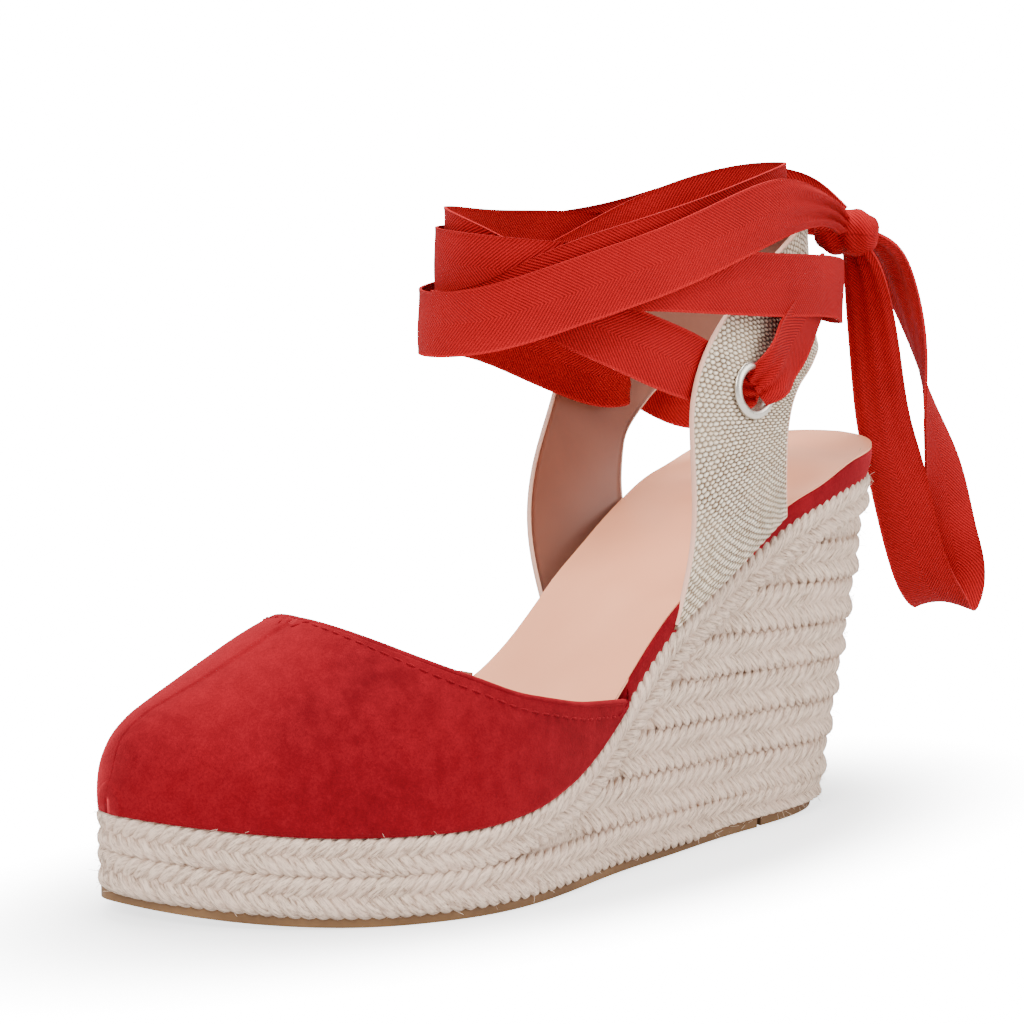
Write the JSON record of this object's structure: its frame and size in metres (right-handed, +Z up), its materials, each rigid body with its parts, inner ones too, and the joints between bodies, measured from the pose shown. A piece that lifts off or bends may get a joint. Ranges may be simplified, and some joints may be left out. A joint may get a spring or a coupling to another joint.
{
  "type": "wedge sandal",
  "caption": "Closed-toe espadrille wedge sandal with a plaited jute wedge, canvas heel sling and a wrap-around ankle ribbon tied in a hanging loop.",
  "frame": {"origin": "on the ground plane, on the heel's centreline, half way along the ground length", "axes": "+Z up, +Y towards the heel, -Y towards the toe, +X towards the outer side of the foot"},
  "size_m": [0.0877, 0.2879, 0.172],
  "materials": {
    "rubber_sole": "matt, golden brown",
    "cork_core": "raw, hidden",
    "jute": "plaited natural jute, fuzzy",
    "board": "fibreboard, hidden",
    "foam": "soft foam, hidden",
    "footbed_satin": "satin synthetic leather",
    "red_suede": "brushed faux suede",
    "lining": "satin synthetic leather",
    "red_thread": "twisted thread",
    "canvas": "coarse basket weave",
    "silver_metal": "polished nickel",
    "red_ribbon": "herringbone twill tape"
  },
  "bodies": {
    "sandal": {"outsole": "rubber_sole", "heel_pad": "rubber_sole", "wedge_core": "cork_core", "jute_braid_bottom": "jute", "jute_braid_top": "jute", "insole_board": "board", "footbed_foam": "foam", "sock_lining": "footbed_satin", "footbed_rim": "red_suede", "vamp_upper": "red_suede", "vamp_lining": "lining", "toe_puff": "board", "vamp_topline_stitching": "red_thread", "heel_strap_canvas": "canvas", "heel_strap_lining": "lining", "eyelet_lateral": "silver_metal", "eyelet_medial": "silver_metal", "eyelet_washer_lateral": "silver_metal", "eyelet_washer_medial": "silver_metal", "ribbon_lateral_wrap": "red_ribbon", "ribbon_medial_wrap": "red_ribbon", "ribbon_heel_loop": "red_ribbon", "ribbon_knot": "red_ribbon", "jute_braid_row_2": "jute", "jute_braid_row_3": "jute", "jute_braid_row_4": "jute", "jute_braid_row_5": "jute", "jute_braid_row_6": "jute", "jute_braid_row_7": "jute", "jute_braid_row_8": "jute"},
    "bow_loop": {"ribbon_bow_loop": "red_ribbon"}
  },
  "joints": [
    {"name": "bow_loop_swing", "type": "hinge", "parent": "sandal", "child": "bow_loop", "pos_m": [0.01, 0.122, 0.153], "axis": [1, 0, 0], "range_deg": [0, 65]}
  ]
}
